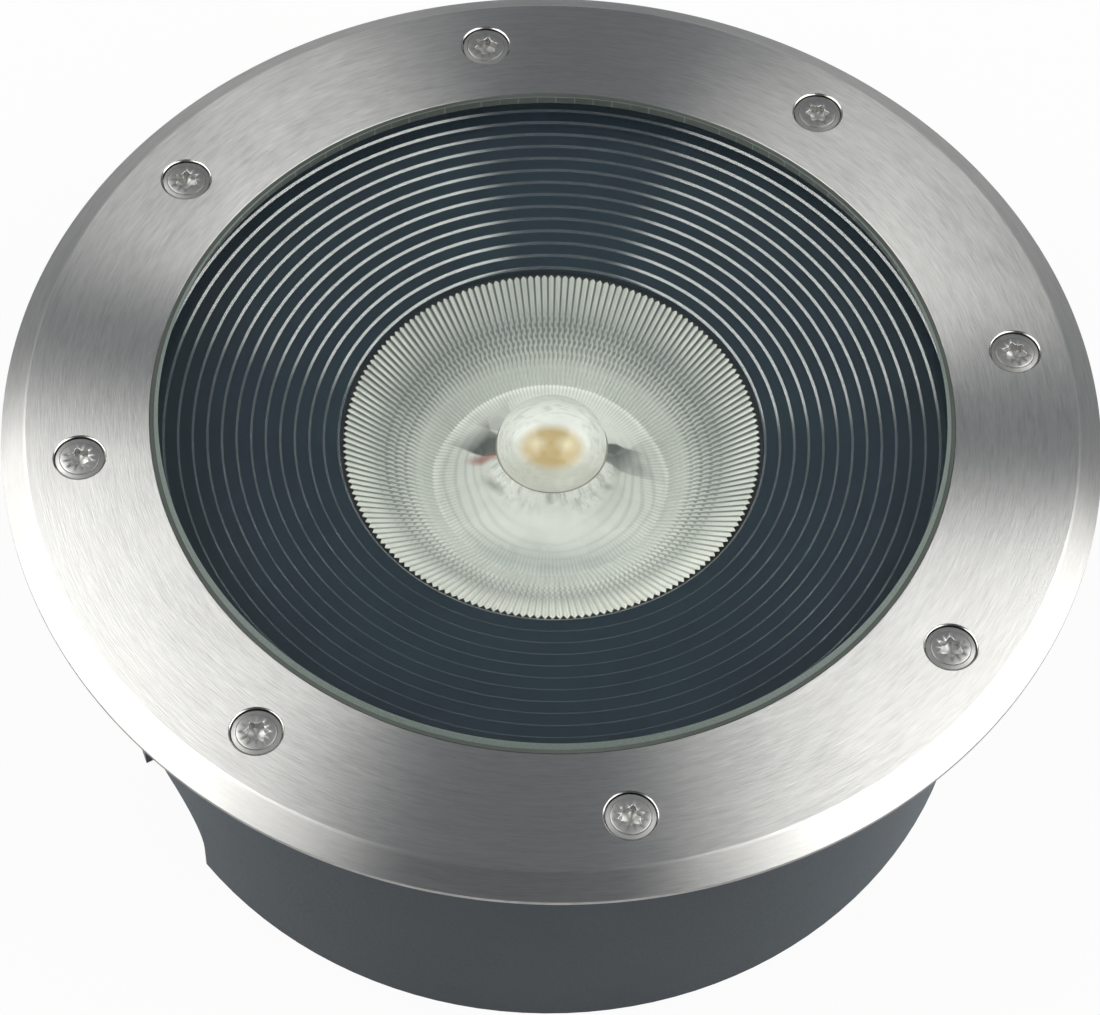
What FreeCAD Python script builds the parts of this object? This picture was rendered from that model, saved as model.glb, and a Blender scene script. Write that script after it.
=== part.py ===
"""In-ground well light: stainless face ring with eight flush screws and a step glass over a stepped
anti-glare baffle, a fluted lens and one LED module, in a two-chamber cast housing that drops into a
round mounting sleeve with cable notches.

Millimetres. Z points up, the origin is the centre of the sleeve's open lower rim, and the side of the
light that looks towards the viewer is -Y. Each function below makes one sub-part.
"""
import FreeCAD, Part
import math
import os

# ---- Overall --------------------------------------------------------------------------------------
face_height = 104.0          # top of the face ring above the sleeve's lower rim
seat_gap = 0.3               # air between pieces that part from each other when the light is opened
fit_gap = 0.1                # air between pieces that stay together

# ---- Face ring -----------------------------------------------------------------------------------
ring_edge = 18.3             # from the screw circle out to the ring's edge
ring_thick = 7.5
ring_bevel_w = 6.0
ring_bevel_drop = 4.0
ring_register = 0.7          # recess under the ring that centres it on the housing flange
opening_r = 95.0
opening_edge = 0.4           # small chamfer round the opening

# ---- Step glass and its gasket -------------------------------------------------------------------
glass_proud = 1.0            # stands above the ring
glass_thick = 12.0
glass_edge = 1.0             # ground chamfer, which is all that stands proud
glass_flange_w = 9.0
glass_flange_thick = 6.0
gasket_thick = 1.2
gasket_lip_w = 1.0           # lip that fills the gap between the opening and the glass neck
glass_neck_r = opening_r - gasket_lip_w
glass_flange_r = glass_neck_r + glass_flange_w
gasket_r = glass_flange_r + gasket_thick
rebate_r = gasket_r + seat_gap

# ---- Face screws: M6 low cheese head, six-lobe drive ---------------------------------------------
screw_count = 8
screw_first_deg = 100.6      # direction of one screw, anticlockwise from +X
screw_wall = 3.9             # metal between the glass rebate and a screw hole
screw_shank_r = 3.0
screw_tip_chamfer = 0.6
screw_length = 16.0
screw_head_r = 5.0
screw_head_h = 3.9
screw_head_chamfer = 0.6
screw_below_face = 0.1
screw_clear_r = 3.3
counterbore_r = 6.0
washer_thick = 0.9
drive_tip_r = 2.8            # out to the lobes
drive_root_r = 2.03          # in to the flutes between them
drive_depth = 1.9
thread_air = 0.05
thread_spare = 1.0           # tapped hole below a screw's end
screw_circle_r = rebate_r + screw_wall + screw_clear_r
ring_r = screw_circle_r + ring_edge

# ---- Driver, terminal block and earth screw ------------------------------------------------------
driver_l = 92.0
driver_w = 56.0
driver_h = 25.0
driver_corner_r = 4.0
driver_room = 24.0           # from the driver's end out to the drum's outside
ear_l = 9.0
ear_w = 16.0
ear_thick = 3.0
driver_screw_grip = 4.0      # thread in the web
terminal_l = 34.0
terminal_w = 16.0
terminal_h = 14.0
terminal_y = 46.0
terminal_ways = 3
terminal_hole_r = 2.0
terminal_hole_depth = 9.0
terminal_screw_hole_r = 2.4
earth_y = -48.0
earth_washer_r = 4.5
earth_washer_thick = 1.0

# ---- Cast housing --------------------------------------------------------------------------------
flange_edge = 6.3            # from the screw circle out to the flange's edge
flange_thick = 7.7
flange_skirt = 2.5
screw_boss_r = 6.2
boss_floor = 1.0             # metal under a tapped hole
seat_w = 5.9
bowl_out = 2.4               # the bowl's outside beyond the gasket seat's inner edge
bowl_wall = 4.5
bowl_chamfer = 4.0
ledge_w = 3.4
ledge_thick = 3.0
web_thick = 5.0              # the floor between lens chamber and driver chamber
drum_wall = 4.0
drum_bottom = 10.5
drum_step = 2.0              # the bowl's underside stands this far below the web's
pedestal_r = 20.0
pedestal_h = 1.0
fin_count = 24
fin_thick = 2.6
fin_foot_w = 4.0
fin_foot_z = 14.0
fin_straight = 6.0           # height of the fin's upright outer edge
fin_sink = 1.0               # how far a fin is rooted in the casting
seat_r = rebate_r - seat_w
gasket_lower_r = seat_r + fit_gap
ledge_r = seat_r - ledge_w
bowl_r = seat_r + bowl_out
drum_r = driver_l / 2 + driver_room
flange_r = screw_circle_r + flange_edge

# ---- Bottom cover of the driver chamber ----------------------------------------------------------
cover_thick = 5.0
cover_inset = 0.5            # the cover and its gasket stand back from the drum's outside
cover_chamfer = 1.0
cover_gasket_thick = 1.5
cover_screw_count = 6
cover_screw_r = 2.0
cover_screw_length = 12.0
cover_screw_head_r = 3.5
cover_screw_head_h = 2.2
cover_slot_w = 0.9
cover_slot_depth = 1.0
cover_boss_r = 5.2
cover_boss_h = 14.0
cover_screw_circle_r = drum_r - drum_wall - cover_boss_r + fit_gap

# ---- Mounting sleeve -----------------------------------------------------------------------------
sleeve_air = 4.0             # round the bowl
sleeve_wall = 3.0
sleeve_flange_inset = 1.0    # from the housing flange's edge
sleeve_flange_thick = 3.0
notch_w = 33.0
notch_h = 22.0
notch_corner_r = 14.0
notch_deg = 212.0            # the front left notch; the others are spaced evenly from it
notch_count = 2
sleeve_r = bowl_r + sleeve_air + sleeve_wall
sleeve_flange_r = flange_r - sleeve_flange_inset

# ---- Lens ----------------------------------------------------------------------------------------
lens_r = 50.0
lens_rim_below = 20.5        # depth of the lens rim below the face ring's top
lens_height = 26.0
flute_count = 150
flute_depth = 1.1
flute_depth_foot = 0.5
lens_foot_r = 29.0
lens_neck_h = 2.0
lens_dish_r = 29.0
lens_dish_floor_r = 17.5
lens_dish_depth = 1.9
lens_dome_r = 13.2
lens_dome_h = 7.0
lens_pocket_r = 9.5
lens_pocket_h = 9.0
lens_pocket_flare = 1.0
lens_pocket_crown = 2.0

# ---- Stepped baffle ------------------------------------------------------------------------------
step_count = 14
step_riser_w = 0.55          # the lit bevel of each step
baffle_first_below = 12.9    # depth of the outermost step below the face ring's top
baffle_above_lens = 1.2      # the innermost edge stands this far above the lens rim
baffle_lens_air = 0.8        # between that edge and the lens
baffle_lip = 0.3             # taper of the innermost edge
baffle_thick = 1.6
baffle_rim_w = 1.7
baffle_first_in = 2.9        # from the rim's outside to the outermost step

# ---- Lens holder ---------------------------------------------------------------------------------
holder_wall = 1.6
holder_gap = 0.4
holder_shelf = 1.6
holder_below_rim = 1.0
holder_foot_w = 9.0
holder_foot_thick = 2.5
holder_screw_count = 3
holder_screw_first_deg = 90.0

# ---- LED module ----------------------------------------------------------------------------------
led_room = 7.5               # between the web and the lens's underside
pad_thick = 0.5
board_w = 28.0
board_thick = 1.2
board_corner_r = 1.0
emitter_r = 7.25
emitter_thick = 0.5
frame_l = 46.0
frame_w = 31.0
frame_corner_r = 5.0
frame_scoop_r = 3.2
frame_thick = 3.0
frame_turn_deg = 20.0
frame_aperture_r = 9.0
frame_aperture_bevel = 1.5
frame_screw_x = 18.0
small_screw_r = 1.5
small_screw_head_r = 2.8
small_screw_head_h = 1.6
small_screw_socket_r = 1.2
small_screw_length = 8.0

# ---- Leads between LED module and driver ---------------------------------------------------------
lead_r = 0.8
lead_drop_r = 25.5
lead_bend_r = 2.4
grommet_r = 2.6
grommet_lip = 0.9
grommet_air = 0.02

# ---- Cable gland, opposite the front left notch --------------------------------------------------
gland_deg = 32.0
gland_z = 18.2
gland_pad_r = 10.5
gland_pad_out = 2.5          # the flat seat stands this far out of the drum
gland_pad_in = 4.0           # the inner flat stands this far in
gland_hole_r = 6.1
gland_thread_r = 6.0
gland_hex = 16.0             # across flats
gland_bore_r = 3.6
gland_seal_thick = 1.5
gland_collar = 4.0
gland_spigot = 5.5
gland_nut_l = 11.0
gland_nut_thread_r = 5.6
gland_nut_nose = 2.5
gland_nose_taper = 2.0
locknut_l = 4.0
rubber_r = 4.9
rubber_l = 7.5
rubber_seated = 4.3          # the part of it inside the gland's mouth
gland_face = drum_r + gland_pad_out
gland_inner_pad = drum_r - drum_wall - gland_pad_in

# ---- Breather valve ------------------------------------------------------------------------------
valve_x = -40.0
valve_y = 38.0
valve_stem_r = 4.0
valve_cap_r = 7.0
valve_cap_h = 2.8
valve_vent_r = 1.0
valve_inside = 2.0

# ---- Worked-out heights and radii ----------------------------------------------------------------
ring_under = face_height - ring_thick
ring_seat = ring_under + ring_register
register_r = flange_r + seat_gap
glass_top = face_height + glass_proud
glass_under = glass_top - glass_thick
glass_flange_top = glass_under + glass_flange_thick
gasket_top = glass_flange_top + gasket_thick
gasket_under = glass_under - gasket_thick
flange_top = ring_seat - seat_gap
glass_seat = gasket_under - seat_gap
flange_under = flange_top - flange_thick
screw_head_under = face_height - screw_below_face - screw_head_h
screw_end = screw_head_under - screw_length
counterbore_floor = screw_head_under - washer_thick
boss_under = screw_end - thread_spare - boss_floor
lens_rim = face_height - lens_rim_below
lens_under = lens_rim - lens_height
web_top = lens_under - led_room
web_under = web_top - web_thick
baffle_rim_r = seat_r - seat_gap
baffle_rim_top = glass_under - seat_gap
step_first_r = baffle_rim_r - baffle_first_in
step_first_z = face_height - baffle_first_below
step_last_r = lens_r + baffle_lens_air
step_last_z = lens_rim + baffle_above_lens
ledge_top = step_first_z - baffle_thick - fit_gap
pedestal_top = web_top + pedestal_h
board_under = pedestal_top + pad_thick
board_top = board_under + board_thick
frame_top = pedestal_top + frame_thick
cover_top = drum_bottom - cover_gasket_thick
cover_under = cover_top - cover_thick
sleeve_top = boss_under - seat_gap
driver_top = web_under - fit_gap
driver_under = driver_top - driver_h
gland_collar_start = gland_face + gland_seal_thick
gland_collar_end = gland_collar_start + gland_collar
gland_mouth = gland_collar_end + gland_spigot
Z = FreeCAD.Vector(0, 0, 1)
ORIGIN = FreeCAD.Vector(0, 0, 0)


# ---- Helpers -------------------------------------------------------------------------------------
def turned(outline):
    """Solid of revolution about Z from a closed outline of (radius, height) points."""
    points = [FreeCAD.Vector(r, 0, z) for r, z in outline]
    face = Part.Face(Part.makePolygon(points + points[:1]))
    return face.revolve(ORIGIN, Z, 360)


def disc(radius, low, high, x=0.0, y=0.0):
    """Upright cylinder from height low to height high."""
    return Part.makeCylinder(radius, high - low, FreeCAD.Vector(x, y, low))


def tube(outer, inner, low, high, x=0.0, y=0.0):
    """Upright ring."""
    return disc(outer, low, high, x, y).cut(disc(inner, low - 1, high + 1, x, y))


def around(count, radius, first_deg=0.0):
    """Centres of count places spaced evenly round a circle."""
    for index in range(count):
        angle = math.radians(first_deg + index * 360.0 / count)
        yield radius * math.cos(angle), radius * math.sin(angle)


def joined(shapes):
    """One solid from several that meet."""
    shapes = list(shapes)
    return shapes[0].multiFuse(shapes[1:]).removeSplitter()


def group(shapes):
    """Separate solids of one kind, kept as they are."""
    return Part.makeCompound(list(shapes))


def rounded_plate(length, width, corner, low, high):
    """Upright block with rounded corners, centred on the axis."""
    block = Part.makeBox(length, width, high - low, FreeCAD.Vector(-length / 2, -width / 2, low))
    upright = [edge for edge in block.Edges if abs(edge.tangentAt(edge.FirstParameter).z) > 0.9]
    return block.makeFillet(corner, upright)


def hexagon(across_flats, length):
    """Hexagonal bar along +X from the origin."""
    corner = across_flats / math.sqrt(3)
    points = []
    for index in range(6):
        angle = math.radians(60 * index)
        points.append(FreeCAD.Vector(0, corner * math.cos(angle), corner * math.sin(angle)))
    face = Part.Face(Part.makePolygon(points + points[:1]))
    return face.extrude(FreeCAD.Vector(length, 0, 0))


def rod(radius, start, end):
    """Round bar along X from start to end."""
    return Part.makeCylinder(radius, end - start, FreeCAD.Vector(start, 0, 0), FreeCAD.Vector(1, 0, 0))


def at_gland(shape):
    """Turn and lift a shape made along +X into the cable gland's place."""
    placed = shape.copy()
    placed.translate(FreeCAD.Vector(0, 0, gland_z))
    placed.rotate(ORIGIN, Z, gland_deg)
    return placed


# ---- Cover: ring, glass, gasket, screws ----------------------------------------------------------
def lobed_recess():
    """Six-lobe drive recess, its axis on Z and its top at height 0."""
    edges = []
    half = math.radians(30)
    for lobe in range(6):
        middle = math.radians(60 * lobe)
        for centre, radius in ((middle, drive_tip_r), (middle + half, drive_root_r)):
            points = []
            for offset in (-half / 2, 0, half / 2):
                reach = radius if offset == 0 else (drive_tip_r + drive_root_r) / 2
                angle = centre + offset
                points.append(FreeCAD.Vector(reach * math.cos(angle), reach * math.sin(angle), -drive_depth))
            edges.append(Part.Arc(*points).toShape())
    return Part.Face(Part.Wire(edges)).extrude(FreeCAD.Vector(0, 0, drive_depth + 1))


def face_screws():
    head_top = screw_head_under + screw_head_h
    outline = [(0, screw_end), (screw_shank_r - screw_tip_chamfer, screw_end)]
    outline += [(screw_shank_r, screw_end + screw_tip_chamfer)]
    outline += [(screw_shank_r, screw_head_under), (screw_head_r, screw_head_under)]
    outline += [(screw_head_r, head_top - screw_head_chamfer), (screw_head_r - screw_head_chamfer, head_top)]
    outline += [(0, head_top)]
    recess = lobed_recess()
    recess.translate(FreeCAD.Vector(0, 0, head_top))
    screw = turned(outline).cut(recess)
    screws = []
    for x, y in around(screw_count, screw_circle_r, screw_first_deg):
        copy = screw.copy()
        copy.translate(FreeCAD.Vector(x, y, 0))
        screws.append(copy)
    return group(screws)


def screw_washers():
    top = screw_head_under
    places = around(screw_count, screw_circle_r, screw_first_deg)
    return group(tube(screw_head_r, screw_shank_r + fit_gap, counterbore_floor, top, x, y) for x, y in places)


def face_ring():
    outline = [(opening_r, gasket_top), (opening_r, face_height - opening_edge)]
    outline += [(opening_r + opening_edge, face_height), (ring_r - ring_bevel_w, face_height)]
    outline += [(ring_r, face_height - ring_bevel_drop), (ring_r, ring_under)]
    outline += [(register_r, ring_under), (register_r, ring_seat), (rebate_r, ring_seat), (rebate_r, gasket_top)]
    ring = turned(outline)
    for x, y in around(screw_count, screw_circle_r, screw_first_deg):
        ring = ring.cut(disc(counterbore_r, counterbore_floor, face_height + 1, x, y))
        ring = ring.cut(disc(screw_clear_r, ring_under - 1, face_height, x, y))
    return ring


def cover_glass():
    outline = [(0, glass_under), (glass_flange_r, glass_under), (glass_flange_r, glass_flange_top)]
    outline += [(glass_neck_r, glass_flange_top), (glass_neck_r, glass_top - glass_edge)]
    outline += [(glass_neck_r - glass_edge, glass_top), (0, glass_top)]
    return turned(outline)


def glass_gasket():
    """U section round the glass flange, with a lip up to the ring's face."""
    outline = [(gasket_lower_r, gasket_under), (gasket_r, gasket_under), (gasket_r, gasket_top)]
    outline += [(opening_r - thread_air, gasket_top), (opening_r - thread_air, face_height)]
    outline += [(glass_neck_r, face_height), (glass_neck_r, glass_flange_top)]
    outline += [(glass_flange_r, glass_flange_top), (glass_flange_r, glass_under), (gasket_lower_r, glass_under)]
    return turned(outline)


# ---- Housing -------------------------------------------------------------------------------------
def cast_bowl():
    """Flange, bowl, web and driver drum as one turned form."""
    inner = bowl_r - bowl_wall
    outline = [(0, web_under), (drum_r - drum_wall, web_under), (drum_r - drum_wall, drum_bottom)]
    outline += [(drum_r, drum_bottom), (drum_r, web_under - drum_step)]
    outline += [(bowl_r - bowl_chamfer, web_under - drum_step)]
    outline += [(bowl_r, web_under - drum_step + bowl_chamfer)]
    outline += [(bowl_r, flange_under - flange_skirt), (bowl_r + flange_skirt, flange_under)]
    outline += [(flange_r - flange_skirt, flange_under), (flange_r - flange_skirt, boss_under)]
    outline += [(flange_r, boss_under), (flange_r, flange_top), (rebate_r, flange_top)]
    outline += [(rebate_r, glass_seat), (seat_r, glass_seat), (seat_r, ledge_top), (ledge_r, ledge_top)]
    outline += [(ledge_r, ledge_top - ledge_thick), (inner, ledge_top - ledge_thick - (inner - ledge_r))]
    outline += [(inner, web_top + bowl_chamfer), (inner - bowl_chamfer, web_top), (0, web_top)]
    return turned(outline)


def cooling_fin():
    """One radial fin in the X-Z plane, rooted in the drum and the bowl's underside."""
    fin_top_r = bowl_r - bowl_chamfer
    root_z = web_under - drum_step + fin_sink
    points = [(drum_r - fin_sink, fin_foot_z), (drum_r + fin_foot_w, fin_foot_z)]
    points += [(fin_top_r, root_z - fin_straight), (fin_top_r, root_z), (drum_r - fin_sink, root_z)]
    corners = [FreeCAD.Vector(r, -fin_thick / 2, z) for r, z in points]
    return Part.Face(Part.makePolygon(corners + corners[:1])).extrude(FreeCAD.Vector(0, fin_thick, 0))


def fins():
    """The fins all round, less those that would foul the cable gland."""
    blocked = math.degrees(math.asin((gland_hex / math.sqrt(3) + fin_thick) / drum_r))
    kept = []
    for index in range(fin_count):
        turn = gland_deg + (index + 0.5) * 360.0 / fin_count
        from_gland = abs((turn - gland_deg + 180) % 360 - 180)
        if from_gland > blocked:
            fin = cooling_fin()
            fin.rotate(ORIGIN, Z, turn)
            kept.append(fin)
    return kept


def housing():
    adds = fins()
    adds.append(disc(pedestal_r, web_top - 1, pedestal_top))
    adds += [disc(screw_boss_r, boss_under, flange_under + 1, x, y)
             for x, y in around(screw_count, screw_circle_r, screw_first_deg)]
    chamber = disc(drum_r - 1, drum_bottom, web_under)
    for x, y in around(cover_screw_count, cover_screw_circle_r):
        adds.append(disc(cover_boss_r, drum_bottom, drum_bottom + cover_boss_h, x, y).common(chamber))
    pad = at_gland(rod(gland_pad_r, gland_inner_pad, gland_face))
    adds.append(pad.common(disc(bowl_r, drum_bottom, web_top)))
    body = joined([cast_bowl()] + adds)
    cuts = [disc(screw_shank_r + thread_air, screw_end - thread_spare, flange_top + 1, x, y)
            for x, y in around(screw_count, screw_circle_r, screw_first_deg)]
    cuts += [disc(cover_screw_r + thread_air, drum_bottom - 1, cover_under + cover_screw_length + 1, x, y)
             for x, y in around(cover_screw_count, cover_screw_circle_r)]
    cuts += [disc(small_screw_r + thread_air, frame_screw_end(), pedestal_top + 1, x, y)
             for x, y in frame_screw_places()]
    cuts += [disc(small_screw_r + thread_air, holder_screw_end(), web_top + 1, x, y)
             for x, y in holder_screw_places()]
    cuts += [disc(small_screw_r + thread_air, web_under - 1, driver_screw_end() + fit_gap, x, y)
             for x, y in driver_screw_places() + [(0, earth_y)]]
    cuts += [disc(grommet_r + fit_gap / 2, web_under - 1, web_top + 1, x, y) for x, y in lead_places()]
    cuts.append(at_gland(rod(gland_hole_r, gland_inner_pad - 2, gland_face + 1)))
    return body.cut(Part.makeCompound(cuts))


def bottom_cover():
    plate = disc(drum_r - cover_inset, cover_under, cover_top)
    rim = [edge for edge in plate.Edges if edge.BoundBox.ZMax < cover_under + fit_gap]
    plate = plate.makeChamfer(cover_chamfer, rim)
    for x, y in around(cover_screw_count, cover_screw_circle_r):
        plate = plate.cut(disc(cover_screw_r + fit_gap, cover_under - 1, cover_top + 1, x, y))
        sink = cover_under + cover_screw_head_h + fit_gap
        plate = plate.cut(disc(cover_screw_head_r + seat_gap, cover_under - 1, sink, x, y))
    return plate.cut(disc(valve_stem_r + thread_air, cover_under - 1, cover_top + 1, valve_x, valve_y))


def bottom_cover_gasket():
    outside = disc(drum_r - cover_inset, cover_top, drum_bottom)
    ring = tube(drum_r - cover_inset, drum_r - drum_wall, cover_top, drum_bottom)
    eyes = [disc(cover_boss_r, cover_top, drum_bottom, x, y)
            for x, y in around(cover_screw_count, cover_screw_circle_r)]
    gasket = joined([ring] + eyes).common(outside)
    for x, y in around(cover_screw_count, cover_screw_circle_r):
        gasket = gasket.cut(disc(cover_screw_r + fit_gap, cover_top - 1, drum_bottom + 1, x, y))
    return gasket


def bottom_cover_screws():
    head_top = cover_under + cover_screw_head_h
    screws = []
    for x, y in around(cover_screw_count, cover_screw_circle_r):
        head = disc(cover_screw_head_r, cover_under, head_top, x, y)
        shank = disc(cover_screw_r, cover_under + cover_slot_depth, cover_under + cover_screw_length, x, y)
        slot = Part.makeBox(2 * drum_r, cover_slot_w, cover_slot_depth)
        slot.translate(FreeCAD.Vector(x - drum_r, y - cover_slot_w / 2, cover_under))
        screws.append(head.fuse(shank).removeSplitter().cut(slot))
    return group(screws)


# ---- Sleeve --------------------------------------------------------------------------------------
def notch_cutter():
    """Arched opening, extruded along +X through the sleeve wall."""
    half = notch_w / 2
    spring = notch_h - notch_corner_r
    bend = notch_corner_r * (1 - math.sqrt(0.5))
    points = [(-half, -1), (-half, spring), (-half + bend, notch_h - bend), (-half + notch_corner_r, notch_h)]
    points += [(half - notch_corner_r, notch_h), (half - bend, notch_h - bend), (half, spring), (half, -1)]
    v = [FreeCAD.Vector(0, y, z) for y, z in points]
    edges = [Part.LineSegment(v[0], v[1]).toShape(), Part.Arc(v[1], v[2], v[3]).toShape()]
    edges += [Part.LineSegment(v[3], v[4]).toShape(), Part.Arc(v[4], v[5], v[6]).toShape()]
    edges += [Part.LineSegment(v[6], v[7]).toShape(), Part.LineSegment(v[7], v[0]).toShape()]
    return Part.Face(Part.Wire(edges)).extrude(FreeCAD.Vector(sleeve_r + 10, 0, 0))


def mounting_sleeve():
    inner = sleeve_r - sleeve_wall
    outline = [(inner, 0), (sleeve_r, 0), (sleeve_r, sleeve_top - sleeve_flange_thick)]
    outline += [(sleeve_flange_r, sleeve_top - sleeve_flange_thick), (sleeve_flange_r, sleeve_top)]
    outline += [(inner, sleeve_top)]
    sleeve = turned(outline)
    for index in range(notch_count):
        cutter = notch_cutter()
        cutter.rotate(ORIGIN, Z, notch_deg + index * 360.0 / notch_count)
        sleeve = sleeve.cut(cutter)
    return sleeve


# ---- Baffle and lens -----------------------------------------------------------------------------
def baffle():
    """Dish of shallow steps: each has a level tread and a bevelled riser."""
    pitch = (step_first_r - step_last_r) / (step_count - 1)
    drop = (step_first_z - step_last_z) / (step_count - 1)
    outline = [(baffle_rim_r, baffle_rim_top), (baffle_rim_r - baffle_rim_w, baffle_rim_top)]
    outline += [(baffle_rim_r - baffle_rim_w, step_first_z + drop)]
    for step in range(step_count - 1):
        r = step_first_r - step * pitch
        z = step_first_z - step * drop
        outline += [(r + step_riser_w, z + drop), (r, z)]
    outline += [(step_last_r + step_riser_w, step_last_z + drop), (step_last_r, step_last_z)]
    outline += [(step_last_r - baffle_lip, step_last_z - baffle_thick)]
    outline += [(step_first_r, step_first_z - baffle_thick), (baffle_rim_r, step_first_z - baffle_thick)]
    return turned(outline)


def star(radius, depth, height):
    """Closed zigzag wire of flute_count teeth."""
    points = []
    for index in range(2 * flute_count):
        angle = math.pi * index / flute_count
        r = radius if index % 2 == 0 else radius - depth
        points.append(FreeCAD.Vector(r * math.cos(angle), r * math.sin(angle), height))
    return Part.makePolygon(points + points[:1])


def lens():
    """Fluted cone with a dished top, a clear dome in the middle and a pocket over the LED."""
    foot = lens_under + lens_neck_h
    ends = [star(lens_r, flute_depth, lens_rim), star(lens_foot_r, flute_depth_foot, foot)]
    cone = Part.makeLoft(ends, True, True)
    dish_floor = lens_rim - lens_dish_depth
    dish = [(0, dish_floor), (lens_dish_floor_r, dish_floor), (lens_dish_r, lens_rim), (0, lens_rim + 1)]
    ball_r = (lens_dome_r ** 2 + lens_dome_h ** 2) / (2 * lens_dome_h)
    ball = Part.makeSphere(ball_r, FreeCAD.Vector(0, 0, dish_floor + lens_dome_h - ball_r))
    dome = ball.common(disc(lens_dome_r, dish_floor - 1, dish_floor + lens_dome_h + 1))
    neck = disc(lens_foot_r - flute_depth_foot, lens_under, foot + 1)
    body = cone.cut(turned(dish)).fuse([neck, dome]).removeSplitter()
    pocket_top = lens_under + lens_pocket_h
    pocket = [(0, lens_under - 1), (lens_pocket_r + lens_pocket_flare, lens_under - 1)]
    pocket += [(lens_pocket_r, pocket_top), (0, pocket_top + lens_pocket_crown)]
    return body.cut(turned(pocket))


def lens_holder():
    """Cup that carries the lens by its foot, screwed to the web."""
    shelf = lens_under - fit_gap
    inner_foot = lens_foot_r + holder_gap
    top = lens_rim - holder_below_rim
    slope = (lens_r - lens_foot_r) / (lens_height - lens_neck_h)
    rim_inner = inner_foot + slope * (top - shelf - lens_neck_h) + holder_gap
    wall_r = inner_foot + holder_wall
    outline = [(lens_foot_r - holder_shelf, shelf), (inner_foot, shelf), (inner_foot, shelf + lens_neck_h)]
    outline += [(rim_inner, top), (rim_inner + holder_wall, top), (wall_r, shelf + lens_neck_h - 1)]
    outline += [(wall_r, web_top + holder_foot_thick), (wall_r + holder_foot_w, web_top + holder_foot_thick)]
    outline += [(wall_r + holder_foot_w, web_top), (inner_foot, web_top), (inner_foot, shelf - holder_wall)]
    outline += [(lens_foot_r - holder_shelf, shelf - holder_wall)]
    cup = turned(outline)
    for x, y in holder_screw_places():
        cup = cup.cut(disc(small_screw_r + fit_gap, web_top - 1, web_top + holder_foot_thick + 1, x, y))
    return cup


def holder_screw_places():
    radius = lens_foot_r + holder_gap + holder_wall + holder_foot_w / 2
    return list(around(holder_screw_count, radius, holder_screw_first_deg))


def holder_screw_end():
    return web_top + holder_foot_thick - small_screw_length + small_screw_head_h


def small_screw(x, y, seat, end, upward=True):
    """Pan-head screw whose head stands on seat and whose shank runs to end."""
    way = 1 if upward else -1
    head_end = seat + way * small_screw_head_h
    head = disc(small_screw_head_r, min(seat, head_end), max(seat, head_end), x, y)
    root = seat + way * small_screw_head_h / 3
    shank = disc(small_screw_r, min(root, end), max(root, end), x, y)
    socket_end = head_end - way * small_screw_head_h / 2
    socket = disc(small_screw_socket_r, min(socket_end, head_end), max(socket_end, head_end), x, y)
    return head.fuse(shank).removeSplitter().cut(socket)


def lens_holder_screws():
    seat = web_top + holder_foot_thick
    return group(small_screw(x, y, seat, holder_screw_end() + fit_gap) for x, y in holder_screw_places())


# ---- LED module ----------------------------------------------------------------------------------
def turned_place(x, y):
    angle = math.radians(frame_turn_deg)
    return x * math.cos(angle) - y * math.sin(angle), x * math.sin(angle) + y * math.cos(angle)


def frame_screw_places():
    return [turned_place(side * frame_screw_x, 0) for side in (-1, 1)]


def lead_places():
    return [turned_place(side * lead_drop_r, 0) for side in (-1, 1)]


def thermal_pad():
    pad = rounded_plate(board_w, board_w, board_corner_r, pedestal_top, board_under)
    pad.rotate(ORIGIN, Z, frame_turn_deg)
    return pad


def led_board():
    board = rounded_plate(board_w, board_w, board_corner_r, board_under, board_top)
    board.rotate(ORIGIN, Z, frame_turn_deg)
    return board


def led_emitter():
    """Round pool of phosphor gel with a rounded edge."""
    top = board_top + emitter_thick
    return turned([(0, board_top), (emitter_r, board_top), (emitter_r - emitter_thick, top), (0, top)])


def led_frame():
    """Plastic clamp round the LED board, with a bevelled window and two screw eyes."""
    low = pedestal_top
    high = frame_top
    frame = rounded_plate(frame_l, frame_w, frame_corner_r, low, high)
    nest = Part.makeBox(board_w + 2 * fit_gap, board_w + 2 * fit_gap, board_top + fit_gap - low + 1)
    nest.translate(FreeCAD.Vector(-board_w / 2 - fit_gap, -board_w / 2 - fit_gap, low - 1))
    window = [(0, low - 1), (frame_aperture_r, low - 1), (frame_aperture_r, high - frame_aperture_bevel)]
    window += [(frame_aperture_r + frame_aperture_bevel, high), (0, high)]
    frame = frame.cut(nest).cut(turned(window))
    for side in (-1, 1):
        frame = frame.cut(disc(small_screw_r + fit_gap, low - 1, high + 1, side * frame_screw_x, 0))
        for flank in (-1, 1):
            frame = frame.cut(disc(frame_scoop_r, low - 1, high + 1, side * frame_l / 2, flank * frame_w / 2))
    frame.rotate(ORIGIN, Z, frame_turn_deg)
    return frame


def led_frame_screws():
    end = frame_screw_end() + fit_gap
    return group(small_screw(x, y, frame_top, end) for x, y in frame_screw_places())


def frame_screw_end():
    return frame_top - small_screw_length + small_screw_head_h


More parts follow.
